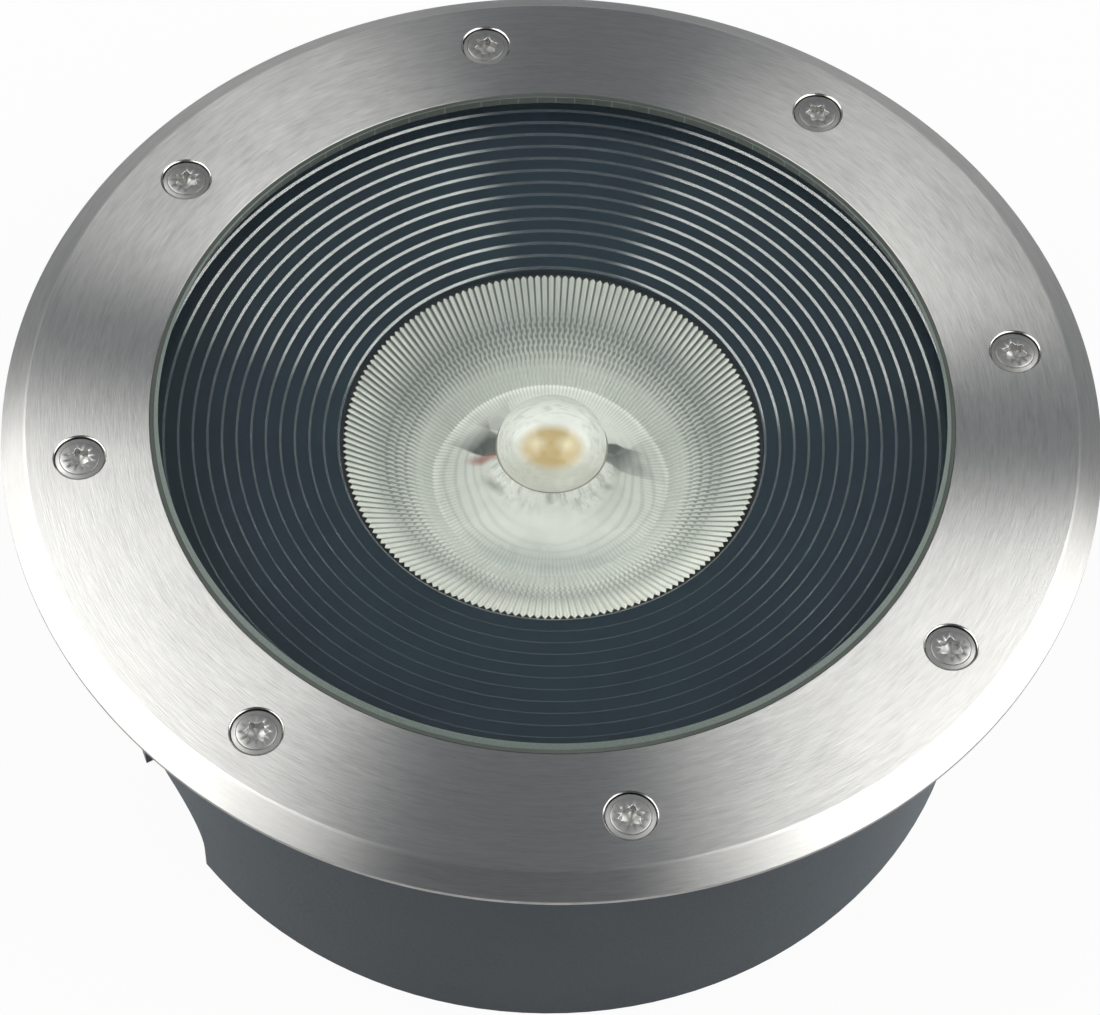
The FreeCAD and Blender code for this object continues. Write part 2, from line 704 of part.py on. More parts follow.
def lead(side):
    """Wire from the top of the LED frame out to the web and down into the driver."""
    start_z = frame_top + lead_r + fit_gap
    turn = lead_bend_r * (1 - math.sqrt(0.5))
    a = FreeCAD.Vector(side * (frame_screw_x + small_screw_head_r + seat_gap), 0, start_z)
    b = FreeCAD.Vector(side * (lead_drop_r - lead_bend_r), 0, start_z)
    m = FreeCAD.Vector(side * (lead_drop_r - turn), 0, start_z - turn)
    c = FreeCAD.Vector(side * lead_drop_r, 0, start_z - lead_bend_r)
    d = FreeCAD.Vector(side * lead_drop_r, 0, driver_top)
    along = Part.LineSegment(a, b).toShape()
    bend = Part.Arc(b, m, c).toShape()
    down = Part.LineSegment(c, d).toShape()
    path = Part.Wire([along, bend, down])
    circle = Part.Wire(Part.makeCircle(lead_r, a, FreeCAD.Vector(1, 0, 0)))
    wire = path.makePipeShell([circle], True, True)
    wire.rotate(ORIGIN, Z, frame_turn_deg)
    return wire


def lead_red():
    return lead(-1)


def lead_black():
    return lead(1)


def lead_grommets():
    pieces = []
    for x, y in lead_places():
        sleeve = disc(grommet_r, web_under, web_top + grommet_lip, x, y)
        lip = disc(grommet_r + grommet_lip, web_top, web_top + grommet_lip, x, y)
        bore = disc(lead_r + grommet_air, web_under - 1, web_top + grommet_lip + 1, x, y)
        pieces.append(sleeve.fuse(lip).removeSplitter().cut(bore))
    return group(pieces)


# ---- Driver chamber ------------------------------------------------------------------------------
def driver_screw_places():
    return [(side * (driver_l / 2 + ear_l / 2), 0) for side in (-1, 1)]


def driver_screw_end():
    return web_under + driver_screw_grip


def driver():
    box = rounded_plate(driver_l, driver_w, driver_corner_r, driver_under, driver_top)
    ears = Part.makeBox(driver_l + 2 * ear_l, ear_w, ear_thick)
    ears.translate(FreeCAD.Vector(-driver_l / 2 - ear_l, -ear_w / 2, driver_top - ear_thick))
    body = box.fuse(ears).removeSplitter()
    for x, y in driver_screw_places():
        body = body.cut(disc(small_screw_r + fit_gap, driver_top - ear_thick - 1, driver_top + 1, x, y))
    return body


def driver_screws():
    seat = driver_top - ear_thick
    return group(small_screw(x, y, seat, driver_screw_end(), False) for x, y in driver_screw_places())


def terminal_block():
    """Three-way block on the web's underside, with wire holes on one side."""
    block = Part.makeBox(terminal_l, terminal_w, terminal_h)
    under = web_under - fit_gap - terminal_h
    block.translate(FreeCAD.Vector(-terminal_l / 2, terminal_y - terminal_w / 2, under))
    pitch = terminal_l / terminal_ways
    for way in range(terminal_ways):
        x = (way - (terminal_ways - 1) / 2) * pitch
        z = under + terminal_h / 2
        start = FreeCAD.Vector(x, terminal_y + terminal_w / 2 + 1, z)
        hole = Part.makeCylinder(terminal_hole_r, terminal_hole_depth, start, FreeCAD.Vector(0, -1, 0))
        screw_hole = disc(terminal_screw_hole_r, under - 1, z - terminal_hole_r, x, terminal_y)
        block = block.cut(hole).cut(screw_hole)
    return block


def earth_screw():
    seat = web_under - earth_washer_thick
    screw = small_screw(0, earth_y, seat, driver_screw_end(), False)
    washer = tube(earth_washer_r, small_screw_r, seat, web_under, 0, earth_y)
    return screw.fuse(washer).removeSplitter()


# ---- Cable gland, in line along +X, then turned into place ---------------------------------------
def cable_gland():
    """Gland body: threaded neck through the drum wall, hexagon collar and spigot."""
    body = hexagon(gland_hex, gland_collar)
    body.translate(FreeCAD.Vector(gland_collar_start, 0, 0))
    inner_end = gland_inner_pad - locknut_l - 1
    neck = rod(gland_thread_r, inner_end, gland_collar_start + 1)
    spigot = rod(gland_nut_thread_r, gland_collar_end - 1, gland_mouth)
    body = body.fuse([neck, spigot]).removeSplitter()
    body = body.cut(rod(gland_bore_r, inner_end - 1, gland_mouth + 1))
    return at_gland(body.cut(rod(rubber_r + fit_gap, gland_mouth - rubber_seated, gland_mouth + 1)))


def gland_rubber():
    start = gland_mouth - rubber_seated + fit_gap
    end = start + rubber_l
    return at_gland(rod(rubber_r, start, end).cut(rod(gland_bore_r, start - 1, end + 1)))


def gland_nut():
    start = gland_collar_end + seat_gap
    end = start + gland_nut_l
    across = gland_hex / 2
    nose_at = FreeCAD.Vector(end - gland_nut_nose, 0, 0)
    nut = hexagon(gland_hex, gland_nut_l - gland_nut_nose)
    nut.translate(FreeCAD.Vector(start, 0, 0))
    nose = Part.makeCone(across, across - gland_nose_taper, gland_nut_nose, nose_at, FreeCAD.Vector(1, 0, 0))
    nut = nut.fuse(nose).removeSplitter()
    cavity_end = gland_mouth + rubber_l - rubber_seated + 2 * fit_gap
    nut = nut.cut(rod(gland_nut_thread_r + thread_air, start - 1, cavity_end))
    return at_gland(nut.cut(rod(gland_bore_r, start - 1, end + 1)))


def gland_seal():
    ring = rod(gland_hex / 2, gland_face, gland_collar_start)
    return at_gland(ring.cut(rod(gland_thread_r + thread_air, gland_face - 1, gland_collar_start + 1)))


def gland_locknut():
    start = gland_inner_pad - locknut_l
    nut = hexagon(gland_hex, locknut_l)
    nut.translate(FreeCAD.Vector(start, 0, 0))
    return at_gland(nut.cut(rod(gland_thread_r + thread_air, start - 1, gland_inner_pad + 1)))


def breather_valve():
    cap = disc(valve_cap_r, cover_under - valve_cap_h, cover_under, valve_x, valve_y)
    stem = disc(valve_stem_r, cover_under - 1, cover_top + valve_inside, valve_x, valve_y)
    vent = disc(valve_vent_r, cover_under - valve_cap_h - 1, cover_top + valve_inside + 1, valve_x, valve_y)
    return cap.fuse(stem).removeSplitter().cut(vent)


SUB_PARTS = [
    face_ring, face_screws, screw_washers, cover_glass, glass_gasket,
    housing, baffle, lens, lens_holder, lens_holder_screws,
    thermal_pad, led_board, led_emitter, led_frame, led_frame_screws,
    lead_red, lead_black, lead_grommets,
    driver, driver_screws, terminal_block, earth_screw,
    bottom_cover, bottom_cover_gasket, bottom_cover_screws, breather_valve,
    cable_gland, gland_rubber, gland_nut, gland_seal, gland_locknut,
    mounting_sleeve,
]

os.makedirs("parts", exist_ok=True)
for make in SUB_PARTS:
    shape = make()
    if not shape.isValid():
        raise ValueError(make.__name__ + " is not a valid shape")
    shape.exportStep("parts/" + make.__name__ + ".step")
    print(make.__name__, "solids", len(shape.Solids), "volume", round(shape.Volume, 1))
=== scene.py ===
"""Looks for the in-ground well light: camera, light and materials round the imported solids."""
import math

import bmesh
import bpy
from mathutils import Matrix, Vector


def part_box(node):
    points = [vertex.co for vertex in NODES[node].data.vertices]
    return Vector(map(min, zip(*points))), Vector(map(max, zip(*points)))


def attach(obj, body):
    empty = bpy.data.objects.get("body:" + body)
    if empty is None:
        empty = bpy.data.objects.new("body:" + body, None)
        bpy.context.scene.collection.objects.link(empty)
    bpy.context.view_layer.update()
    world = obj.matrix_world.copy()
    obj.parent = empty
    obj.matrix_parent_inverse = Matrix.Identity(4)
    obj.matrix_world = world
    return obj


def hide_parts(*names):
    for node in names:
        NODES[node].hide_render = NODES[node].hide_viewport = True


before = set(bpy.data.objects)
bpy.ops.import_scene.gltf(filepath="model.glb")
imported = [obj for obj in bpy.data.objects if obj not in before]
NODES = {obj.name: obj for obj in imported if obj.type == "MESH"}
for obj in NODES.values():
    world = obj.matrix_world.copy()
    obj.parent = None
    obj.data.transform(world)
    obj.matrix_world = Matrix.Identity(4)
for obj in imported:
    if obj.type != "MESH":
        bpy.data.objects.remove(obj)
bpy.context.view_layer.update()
MM = 0.001
ACROSS, UP = 0, 2


def lowest(node, axis):
    """Where a CAD node begins along an axis, in mm."""
    return round(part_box(node)[0][axis] / MM, 2)


def highest(node, axis):
    """Where a CAD node ends along an axis, in mm."""
    return round(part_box(node)[1][axis] / MM, 2)


# ---- Sizes in mm: how far a whole solid reaches is read from the imported solids -----------------
RING_R = highest("face_ring", ACROSS)
RING_TOP = highest("face_ring", UP)
RING_UNDER = lowest("face_ring", UP)
OPENING_R = 95.0
OPENING_CHAMFER = 0.15
LIP_THICK = 3.8                 # the inner lip that holds the glass down
BEVEL_W = 6.0
BEVEL_DROP = 4.0
RING_SIDE = 1.0                 # height of the upright outer side, with the undercut below it
UNDERCUT_R = 127.2
REGISTER_R = 118.3              # recess under the ring that centres it on the housing
REGISTER_DEEP = 0.7
REBATE_R = 104.5                # recess for the glass and its gasket
RING_SOFT = 0.25
RING_SEGMENTS = 512

SCREW_COUNT = 8
SCREW_CIRCLE_R = 111.7
SCREW_FIRST_DEG = 100.6         # direction of one screw, anticlockwise from +X
SCREW_TOP = highest("face_screws", UP)
SCREW_END = lowest("face_screws", UP)
SCREW_SEGMENTS = 96
SCREW_TURNS = (0.35, 1.3)       # radians: the first screw's turn, and what each next one adds
HEAD_UNDER = highest("screw_washers", UP)
HEAD_R = 5.75
SHANK_R = 3.0
THREAD_ROOT_R = 2.5
THREAD_PITCH = 1.0
THREAD_TURNS = 14
TIP_CHAMFER = 0.6
LOBES = 6
LOBE_MEAN_R = 2.415
LOBE_WAVE = 0.385
LOBE_BLUNT = 0.12               # flattens the lobes' ends
BORE_R = 6.0
BORE_FLOOR = lowest("screw_washers", UP)
BORE_SEGMENTS = 72
SHANK_HOLE_R = 3.3

GLASS_TOP = highest("cover_glass", UP)
GLASS_UNDER = lowest("cover_glass", UP)
GLASS_FLANGE_R = highest("cover_glass", ACROSS)
GLASS_FLANGE_THICK = 6.0
GLASS_R = 94.0
GLASS_CHAMFER = 1.0
GLASS_SOFT = 0.12
GLASS_SEGMENTS = 320

BAFFLE_R = highest("baffle", ACROSS)
BAFFLE_TOP = highest("baffle", UP)
BAFFLE_WALL_R = 96.6
BAFFLE_THICK = 1.6
BAFFLE_LIP = 0.3                # taper of the innermost edge
BAFFLE_SOFT = 0.07
BAFFLE_SEGMENTS = 400
STEPS = 13
STEP_FIRST = (95.4, 91.1)       # radius and height of the outermost step's foot
STEP_LAST = (50.8, 84.7)
RISER_W = 0.55

FLUTES = 180
LENS_R = highest("lens", ACROSS)
LENS_RIM = 83.5
LENS_FOOT = 59.5
LENS_FOOT_R = 29.0
LENS_EDGE = 0.15
TOOTH = 1.1
FOOT_TOOTH = 0.5
RIM_IN_R = 47.5                 # where the plain rim begins to split into teeth
WALL_ROWS = 6
DOME_R = 13.2
DOME_FOOT = 81.4
DOME_H = 10.8
DOME_ROWS = 24
SEAM_W = 0.35                   # groove round the dome's foot
DISH_W = 15.5                   # slope from the groove up to the rim's height
DISH_ROWS = 8
# The lens's underside, from its foot up a pillar to under the dome: radius, and height above the foot.
PILLAR = ((28.0, 0.0), (21.0, 0.0), (18.0, 1.5), (15.0, 5.5), (13.0, 10.5), (11.6, 15.0), (10.2, 17.7),
          (8.4, 19.1), (5.6, 19.8), (0.0, 20.1))
PILLAR_TOP = LENS_FOOT + PILLAR[-1][1]


# ---- Node helpers --------------------------------------------------------------------------------
class Nodes:
    """Short ways to add and join the nodes of one tree."""

    def __init__(self, tree):
        self.tree = tree

    def add(self, kind, **values):
        node = self.tree.nodes.new(kind)
        for key, value in values.items():
            setattr(node, key, value)
        return node

    def join(self, source, target):
        self.tree.links.new(source, target)

    def feed(self, socket, value):
        """Joins a socket to an output, or sets it to a constant."""
        if isinstance(value, bpy.types.NodeSocket):
            self.join(value, socket)
        else:
            socket.default_value = value

    def math(self, operation, *values, clamp=False):
        node = self.add("ShaderNodeMath", operation=operation, use_clamp=clamp)
        for socket, value in zip(node.inputs, values):
            self.feed(socket, value)
        return node.outputs[0]

    def plus(self, a, b):
        return self.math("ADD", a, b)

    def minus(self, a, b):
        return self.math("SUBTRACT", a, b)

    def times(self, first, *others):
        for other in others:
            first = self.math("MULTIPLY", first, other)
        return first

    def gap(self, a, b):
        """How far a is from b, either way."""
        return self.math("ABSOLUTE", self.minus(a, b))

    def length(self, a, b):
        """Length of the arrow with sides a and b."""
        return self.math("SQRT", self.plus(self.times(a, a), self.times(b, b)))

    def xyz(self, x, y, z):
        node = self.add("ShaderNodeCombineXYZ")
        for socket, value in zip(node.inputs, (x, y, z)):
            self.feed(socket, value)
        return node.outputs[0]

    def split(self, vector):
        node = self.add("ShaderNodeSeparateXYZ")
        self.join(vector, node.inputs[0])
        return node.outputs

    def noise(self, vector, scale, detail, rough, w=None):
        node = self.add("ShaderNodeTexNoise", noise_dimensions="3D" if w is None else "4D")
        self.feed(node.inputs["Vector"], vector)
        self.feed(node.inputs["Scale"], scale)
        self.feed(node.inputs["Detail"], detail)
        self.feed(node.inputs["Roughness"], rough)
        if w is not None:
            self.feed(node.inputs["W"], w)
        return node.outputs["Fac"]

    def span(self, value, low, high, to_low=0.0, to_high=1.0, curve="LINEAR"):
        """Value carried from low..high to to_low..to_high, and held there outside that range."""
        node = self.add("ShaderNodeMapRange", clamp=True, interpolation_type=curve)
        for socket, given in zip(node.inputs, (value, low, high, to_low, to_high)):
            self.feed(socket, given)
        return node.outputs[0]

    def blend(self, share, a, b):
        """Colour a with that share of colour b; the mix node's inputs 6 and 7 are its two colours."""
        node = self.add("ShaderNodeMix", data_type="RGBA")
        for number, value in ((0, share), (6, a), (7, b)):
            self.feed(node.inputs[number], value)
        return node.outputs[2]

    def mix(self, share, a, b):
        """Shader a with that share of shader b."""
        node = self.add("ShaderNodeMixShader")
        for socket, value in zip(node.inputs, (share, a, b)):
            self.feed(socket, value)
        return node.outputs[0]

    def bump(self, height, depth, strength):
        """Bump normal of a height whose full depth is in mm."""
        node = self.add("ShaderNodeBump")
        self.feed(node.inputs["Strength"], strength)
        self.feed(node.inputs["Distance"], depth * MM)
        self.feed(node.inputs["Height"], height)
        return node.outputs[0]

    def principled(self, **sockets):
        node = self.add("ShaderNodeBsdfPrincipled")
        for key, value in sockets.items():
            self.feed(node.inputs[key.replace("_", " ")], value)
        return node.outputs[0]


class Shade(Nodes):
    """A node material, with the colour that it builds up layer by layer."""

    def __init__(self, name):
        self.mat = bpy.data.materials.new(name)
        self.mat.use_nodes = True
        super().__init__(self.mat.node_tree)
        self.tree.nodes.clear()
        self.place = self.add("ShaderNodeTexCoord").outputs["Object"]
        self.colour = None

    def tones(self, value, low, high, first, second):
        """Starts the colour as two tones, blended as value goes from low to high."""
        self.colour = self.blend(self.span(value, low, high), first, second)

    def tint(self, share, colour):
        """Lays a share of another colour over the colour so far."""
        self.colour = self.blend(share, self.colour, colour)

    def polar(self):
        """Radius, its direction along X and Y, and height, round the upright axis and in metres."""
        x, y, z = self.split(self.place)
        r = self.length(x, y)
        return r, self.math("DIVIDE", x, r), self.math("DIVIDE", y, r), z

    def finish(self, shader):
        self.join(shader, self.add("ShaderNodeOutputMaterial").inputs["Surface"])
        return self.mat


def rgb(r, g, b):
    return (r, g, b, 1.0)


def grey(tone):
    return rgb(tone, tone, tone)


# ---- Materials -----------------------------------------------------------------------------------
def strokes(s, across, along, seed=0.0):
    """Noise drawn out round the ring: strokes are across mm wide, and along sets how short they are."""
    r, c, si, z = s.polar()
    fine = 1.0 / (across * MM)
    vector = s.xyz(s.times(r, fine), s.times(c, along), s.times(si, along))
    return s.noise(vector, 1.0, 2.0, 0.6, s.plus(s.times(z, fine), seed))


def brushed_ring():
    """Steel brushed round and round, with a few small nicks; the bevel's colour is painted a little darker,
    as painted shade.
    """
    s = Shade("ring_brushed")
    fine = strokes(s, 0.30, 26.0)
    broad = strokes(s, 0.9, 9.0, 5.0)
    cloud = s.noise(s.place, 40.0, 3.0, 0.5)
    s.tones(broad, 0.35, 0.7, rgb(0.76, 0.76, 0.75), rgb(0.87, 0.87, 0.86))
    s.tint(s.span(fine, 0.3, 0.75, 0.0, 0.8), rgb(1.0, 1.0, 0.99))
    chips = s.add("ShaderNodeTexVoronoi", feature="F1")
    s.feed(chips.inputs["Vector"], s.place)
    s.feed(chips.inputs["Scale"], 70.0)
    nick = s.times(s.span(chips.outputs["Distance"], 0.030, 0.045, 1.0, 0.0),
                   s.span(s.noise(s.place, 9.0, 1.0, 0.4), 0.52, 0.56))
    s.tint(s.times(nick, 0.7), grey(0.30))
    height = s.split(s.place)[2]
    # Painted shade: the bevel below the flat top is darkened towards black in its colour.
    s.tint(s.span(height, (RING_TOP - 0.2) * MM, (RING_TOP - 0.5) * MM, 0.0, 0.18), grey(0.0))
    rough = s.plus(s.span(fine, 0.3, 0.7, 0.34, 0.41), s.span(cloud, 0.35, 0.65, -0.02, 0.02))
    round_and_round = s.add("ShaderNodeTangent", direction_type="RADIAL", axis="Z").outputs[0]
    return s.finish(s.principled(
        Base_Color=s.colour, Metallic=1.0, Roughness=rough, Anisotropic=1.0, Anisotropic_Rotation=0.25,
        Tangent=round_and_round, Normal=s.bump(s.minus(fine, nick), 0.08, 0.65)))


def polished_steel(name, tone, rough):
    s = Shade(name)
    mark = s.noise(s.place, 900.0, 3.0, 0.6)
    wear = s.noise(s.place, 260.0, 4.0, 0.6)
    s.tones(wear, 0.4, 0.65, rgb(tone, tone, tone * 0.985), rgb(tone * 0.8, tone * 0.8, tone * 0.79))
    return s.finish(s.principled(
        Base_Color=s.colour, Metallic=1.0, Roughness=s.span(wear, 0.35, 0.7, rough, rough + 0.10),
        Normal=s.bump(mark, 0.02, 0.4)))


def see_through(name, tint, shadow_tint, rough, ior, ripples, strength):
    """Clear glass or plastic that lets lamp light pass straight through, so what is behind it is lit."""
    s = Shade(name)
    ripple = s.noise(s.place, ripples, 2.0, 0.4)
    solid = s.principled(Base_Color=tint, Roughness=rough, IOR=ior, Transmission_Weight=1.0,
                         Normal=s.bump(ripple, 0.05, strength))
    clear = s.add("ShaderNodeBsdfTransparent")
    s.feed(clear.inputs["Color"], shadow_tint)
    path = s.add("ShaderNodeLightPath")
    return s.finish(s.mix(path.outputs["Is Shadow Ray"], solid, clear.outputs[0]))


def clear_glass():
    return see_through("glass_clear", rgb(0.965, 0.985, 0.98), rgb(0.97, 0.98, 0.975),
                       rough=0.0, ior=1.5, ripples=14.0, strength=0.15)


def clear_plastic():
    return see_through("lens_plastic", rgb(0.97, 0.98, 0.97), rgb(0.98, 0.98, 0.975),
                       rough=0.02, ior=1.49, ripples=90.0, strength=0.2)


def ground_glass():
    s = Shade("glass_ground")
    grain = s.noise(s.place, 2600.0, 3.0, 0.6)
    s.tones(grain, 0.3, 0.7, rgb(0.14, 0.18, 0.165), rgb(0.22, 0.27, 0.25))
    return s.finish(s.principled(Base_Color=s.colour, Roughness=0.55, IOR=1.5, Transmission_Weight=0.25,
                                 Normal=s.bump(grain, 0.03, 0.5)))


def baffle_riser():
    """The satin bevel of each step, which catches the light as a thin line; its colour is also lighter than
    the treads', a painted highlight.
    """
    s = Shade("baffle_riser")
    grain = s.noise(s.place, 1500.0, 3.0, 0.6)
    # Painted highlight: the riser's colour is lighter than the tread's, so its line shows even where no
    # lamp is mirrored.
    s.tones(grain, 0.3, 0.7, rgb(0.032, 0.043, 0.052), rgb(0.040, 0.051, 0.060))
    rough = s.span(grain, 0.3, 0.7, 0.09, 0.14)
    return s.finish(s.principled(Base_Color=s.colour, Roughness=rough, IOR=2.6))


def baffle_coat():
    s = Shade("baffle_coat")
    grain = s.noise(s.place, 1800.0, 3.0, 0.6)
    cloud = s.noise(s.place, 60.0, 3.0, 0.5)
    s.tones(cloud, 0.35, 0.65, rgb(0.004, 0.014, 0.023), rgb(0.006, 0.018, 0.028))
    return s.finish(s.principled(
        Base_Color=s.colour, Roughness=s.span(grain, 0.3, 0.7, 0.45, 0.55), Specular_IOR_Level=0.22,
        Normal=s.bump(grain, 0.01, 0.4)))


def matt(name, low, high, rough=(0.5, 0.65), grain_scale=1200.0, depth=0.03, metallic=0.0, gloss=0.5,
         bloom=0.0):
    """Moulded, coated or cast surface: two close tones, fine grain, slight change of gloss."""
    s = Shade(name)
    grain = s.noise(s.place, grain_scale, 4.0, 0.6)
    cloud = s.noise(s.place, 30.0, 4.0, 0.55)
    s.tones(cloud, 0.35, 0.65, rgb(*low), rgb(*high))
    return s.finish(s.principled(
        Base_Color=s.colour, Metallic=metallic, Roughness=s.span(grain, 0.3, 0.7, *rough),
        Specular_IOR_Level=gloss, Sheen_Weight=bloom, Sheen_Roughness=0.3, Sheen_Tint=rgb(0.75, 0.88, 1.0),
        Normal=s.bump(grain, depth, 0.6)))


# ---- Mesh helpers --------------------------------------------------------------------------------
def on_axis(r):
    return r < 1e-6


def soften(outline, radius, steps=3):
    """The closed outline with its corners rounded, apart from those on the axis."""
    done = []
    for i, corner in enumerate(outline):
        here = Vector(corner)
        if on_axis(here.x):
            done.append(tuple(here))
            continue
        back = Vector(outline[i - 1]) - here
        ahead = Vector(outline[(i + 1) % len(outline)]) - here
        angle = back.angle(ahead)
        reach = min(radius / math.tan(angle / 2), back.length * 0.45, ahead.length * 0.45)
        start = here + back.normalized() * reach
        end = here + ahead.normalized() * reach
        for k in range(steps + 1):
            t = k / steps
            done.append(tuple((1 - t) ** 2 * start + 2 * t * (1 - t) * here + t ** 2 * end))
    return done


def skin(rows, centre=(0.0, 0.0), turn=0.0, closed=False):
    """Mesh data of rows of (radius, height) points in mm, one point per direction round an upright axis.

    A row on the axis is a single tip. A closed skin also joins its last row to its first.
    """
    verts, index, faces = [], [], []
    segments = len(rows[0])
    for row in rows:
        if on_axis(row[0][0]):
            index.append([len(verts)] * segments)
            verts.append((centre[0] * MM, centre[1] * MM, row[0][1] * MM))
            continue
        index.append(list(range(len(verts), len(verts) + segments)))
        for k, (r, z) in enumerate(row):
            a = 2 * math.pi * k / segments + turn
            verts.append(((centre[0] + r * math.cos(a)) * MM, (centre[1] + r * math.sin(a)) * MM, z * MM))
    following = index[1:] + index[:1] if closed else index[1:]
    for low, high in zip(index, following):
        for k in range(segments):
            n = (k + 1) % segments
            face = list(dict.fromkeys((low[k], low[n], high[n], high[k])))
            if len(face) > 2:
                faces.append(face)
    return verts, faces


def turned(outline, segments, centre=(0.0, 0.0), closed=True):
    """Mesh data of an outline of (radius, height) in mm turned round an upright axis."""
    return skin([[point] * segments for point in outline], centre, 0.0, closed)


def shade_edges(mesh, degrees):
    """Smooth shading, with edges that turn by more than this kept crisp."""
    mesh.shade_smooth()
    mesh.set_sharp_from_angle(angle=math.radians(degrees))


def piece(name, data, materials, body=None, replaces=(), crisp=30.0):
    """New object from mesh data, riding a body and standing for CAD nodes."""
    mesh = bpy.data.meshes.new(name)
    mesh.from_pydata(data[0], [], data[1])
    mesh.validate()
    bm = bmesh.new()
    bm.from_mesh(mesh)
    bmesh.ops.recalc_face_normals(bm, faces=bm.faces)
    bm.to_mesh(mesh)
    bm.free()
    for material in materials:
        mesh.materials.append(material)
    shade_edges(mesh, crisp)
    obj = bpy.data.objects.new(name, mesh)
    bpy.context.scene.collection.objects.link(obj)
    if body:
        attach(obj, body)
    if replaces:
        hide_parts(*replaces)
    return obj


def from_axis(point):
    """Distance of a point from the upright axis."""
    return math.hypot(point.x, point.y)


def many(parts):
    """Mesh data of several parts as one."""
    verts, faces = [], []
    for more, rest in parts:
        faces += [[i + len(verts) for i in face] for face in rest]
        verts += more
    return verts, faces


# ---- Cover ---------------------------------------------------------------------------------------
def screw_places():
    """Centres of the face screws, in mm."""
    for k in range(SCREW_COUNT):
        a = math.radians(SCREW_FIRST_DEG + 360.0 / SCREW_COUNT * k)
        yield SCREW_CIRCLE_R * math.cos(a), SCREW_CIRCLE_R * math.sin(a)


def bore(centre):
    """Cutter for a counterbore with a worn mouth and the shank's hole below it."""
    profile = [(0.0, RING_TOP + 2.0), (BORE_R + 2.0, RING_TOP + 2.0), (BORE_R + 0.3, RING_TOP),
               (BORE_R + 0.2, RING_TOP - 0.12), (BORE_R, RING_TOP - 0.28), (BORE_R, BORE_FLOOR),
               (SHANK_HOLE_R, BORE_FLOOR), (SHANK_HOLE_R, RING_UNDER - 1.5), (0.0, RING_UNDER - 1.5)]
    return turned(profile, BORE_SEGMENTS, centre, closed=False)


def cut_bores(obj):
    """Cuts the counterbores out of the ring and keeps the result as its own mesh."""
    cutter = piece("cutters", many(bore(centre) for centre in screw_places()), [])
    cut = obj.modifiers.new("bores", "BOOLEAN")
    cut.object = cutter
    cut.solver = "EXACT"
    bpy.context.view_layer.update()
    shaped = bpy.data.meshes.new_from_object(obj.evaluated_get(bpy.context.evaluated_depsgraph_get()))
    obj.modifiers.clear()
    obj.data = shaped
    bpy.data.objects.remove(cutter)


def face_ring():
    """Flat ring with a bevel, a thin upright side and an undercut, and eight counterbores."""
    bevel_foot = RING_TOP - BEVEL_DROP
    lip_under = RING_TOP - LIP_THICK
    register = RING_UNDER + REGISTER_DEEP
    outline = [(OPENING_R, lip_under), (OPENING_R, RING_TOP - OPENING_CHAMFER),
               (OPENING_R + OPENING_CHAMFER, RING_TOP), (RING_R - BEVEL_W, RING_TOP), (RING_R, bevel_foot),
               (RING_R, bevel_foot - RING_SIDE), (UNDERCUT_R, RING_UNDER), (REGISTER_R, RING_UNDER),
               (REGISTER_R, register), (REBATE_R, register), (REBATE_R, lip_under)]
    materials = [brushed_ring(), polished_steel("ring_bores", 0.66, 0.16),
                 polished_steel("ring_side_painted_shade", 0.34, 0.32)]
    obj = piece("face_ring_brushed", turned(soften(outline, RING_SOFT), RING_SEGMENTS), materials)
    cut_bores(obj)
    places = list(screw_places())
    for face in obj.data.polygons:
        c = face.center / MM
        from_screw = min(math.hypot(c.x - x, c.y - y) for x, y in places)
        if from_screw < BORE_R + 0.5 and (face.normal.z < 0.999 or c.z < RING_TOP - 1):
            face.material_index = 1
        # Painted shade: the upright side and the undercut get a much darker steel than the top.
        elif face.normal.z < 0.4 and from_axis(c) > RING_R - 10.0:
            face.material_index = 2
        else:
            face.material_index = 0
    shade_edges(obj.data, 8)
    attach(obj, "cover")
    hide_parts("face_ring")


def lobe(angle):
    """Radius of the six-lobe recess at an angle."""
    wave = math.cos(LOBES * angle)
    return LOBE_MEAN_R + LOBE_WAVE * (wave + LOBE_BLUNT * math.cos(2 * LOBES * angle) - LOBE_BLUNT)


def screw_data(centre, turn):
    """Mesh data of one screw: thread rings, cheese head with a grooved top edge, and its recess."""
    outline = [(0.0, SCREW_END), (SHANK_R - TIP_CHAMFER, SCREW_END), (SHANK_R, SCREW_END + TIP_CHAMFER)]
    for k in range(THREAD_TURNS):
        z = SCREW_END + TIP_CHAMFER + THREAD_PITCH * k
        outline += [(SHANK_R, z + 0.12), (THREAD_ROOT_R, z + 0.5), (SHANK_R, z + 0.88)]
    outline += [(SHANK_R, HEAD_UNDER), (HEAD_R - 0.15, HEAD_UNDER), (HEAD_R, HEAD_UNDER + 0.15)]
    outline += [(r, SCREW_TOP - below) for r, below in (
        (HEAD_R, 0.6), (5.62, 0.44), (4.75, 0.28), (4.66, 0.4), (4.6, 0.28), (4.5, 0.06), (4.36, 0.0))]
    rows = [[point] * SCREW_SEGMENTS for point in outline]
    around = [lobe(2 * math.pi * k / SCREW_SEGMENTS) for k in range(SCREW_SEGMENTS)]
    for share, extra, below in ((1.0, 0.14, 0.0), (1.0, 0.04, 0.06), (1.0, 0.0, 0.16),
                                (0.97, 0.0, 1.7), (0.93, 0.0, 1.9)):
        rows.append([(r * share + extra, SCREW_TOP - below) for r in around])
    rows += [[(1.0, SCREW_TOP - 2.2)] * SCREW_SEGMENTS, [(0.0, SCREW_TOP - 2.4)] * SCREW_SEGMENTS]
    return skin(rows, centre, turn)


def face_screws():
    first, more = SCREW_TURNS
    screws = many(screw_data(centre, first + more * k) for k, centre in enumerate(screw_places()))
    obj = piece("face_screws_polished", screws, [polished_steel("screw_polish", 0.62, 0.34)], "cover",
                ["face_screws"], 32)


